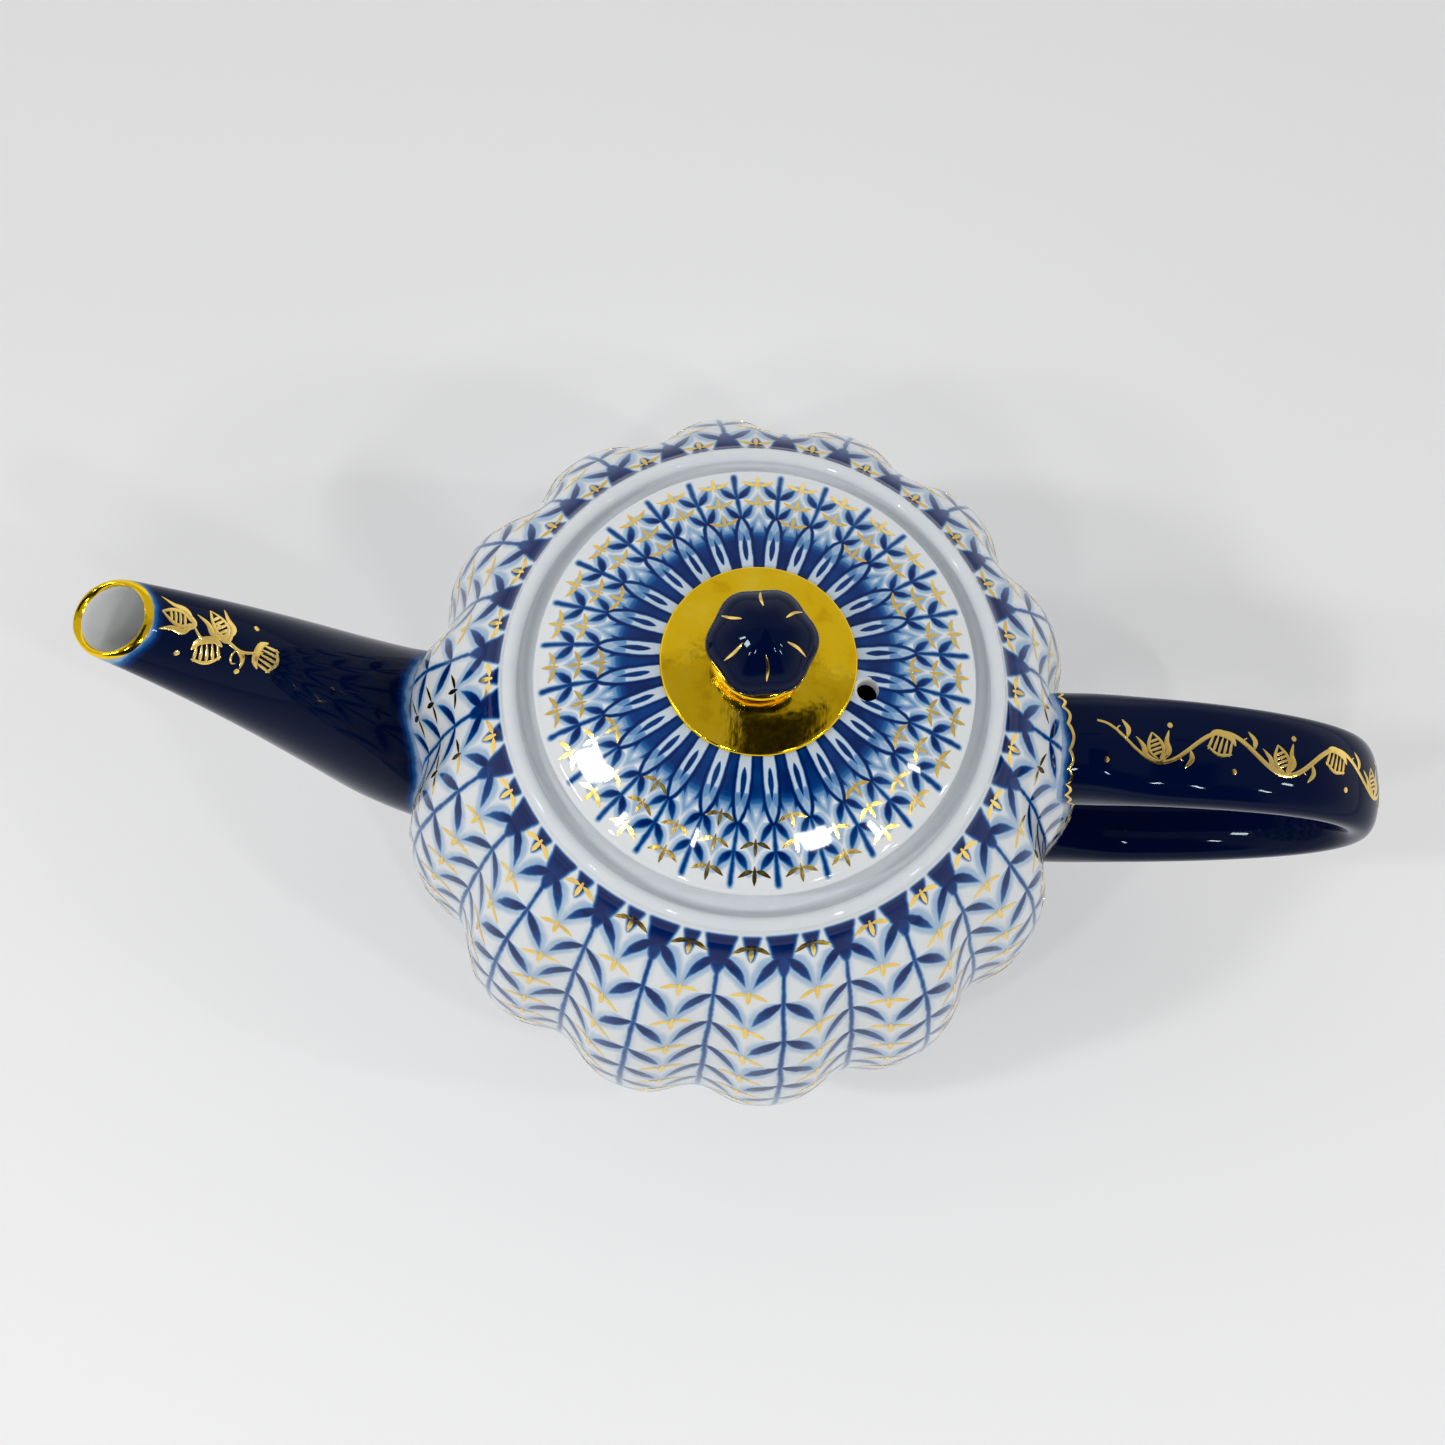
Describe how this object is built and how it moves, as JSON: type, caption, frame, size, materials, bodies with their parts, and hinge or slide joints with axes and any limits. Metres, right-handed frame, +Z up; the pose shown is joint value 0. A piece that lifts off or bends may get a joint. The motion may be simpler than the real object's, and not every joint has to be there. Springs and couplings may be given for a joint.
{
  "type": "teapot",
  "caption": "Fluted porcelain teapot with a strained spout, a strap handle and a lift-off domed lid with a lobed knob on a gilded foot.",
  "frame": {"origin": "centre of the foot ring's standing circle, on the table", "axes": "+Z up along the pot's axis, the spout points to -X, the handle to +X"},
  "size_m": [0.2237, 0.1264, 0.1283],
  "materials": {
    "painted_porcelain": "gloss, underglaze blue",
    "white_glaze": "gloss",
    "biscuit": "unglazed, matt",
    "cobalt_glaze": "gloss",
    "gilding": "burnished gold film"
  },
  "bodies": {
    "pot": {"pot_body": "painted_porcelain", "foot_ring": "biscuit", "spout": "cobalt_glaze", "handle": "cobalt_glaze"},
    "lid": {"lid": "painted_porcelain", "lid_flange": "white_glaze", "knob_saucer": "gilding", "knob_bud": "cobalt_glaze"}
  },
  "joints": [
    {"name": "lid_lift", "type": "slide", "parent": "pot", "child": "lid", "axis": [0, 0, 1], "range_m": [0, 0.04]}
  ]
}
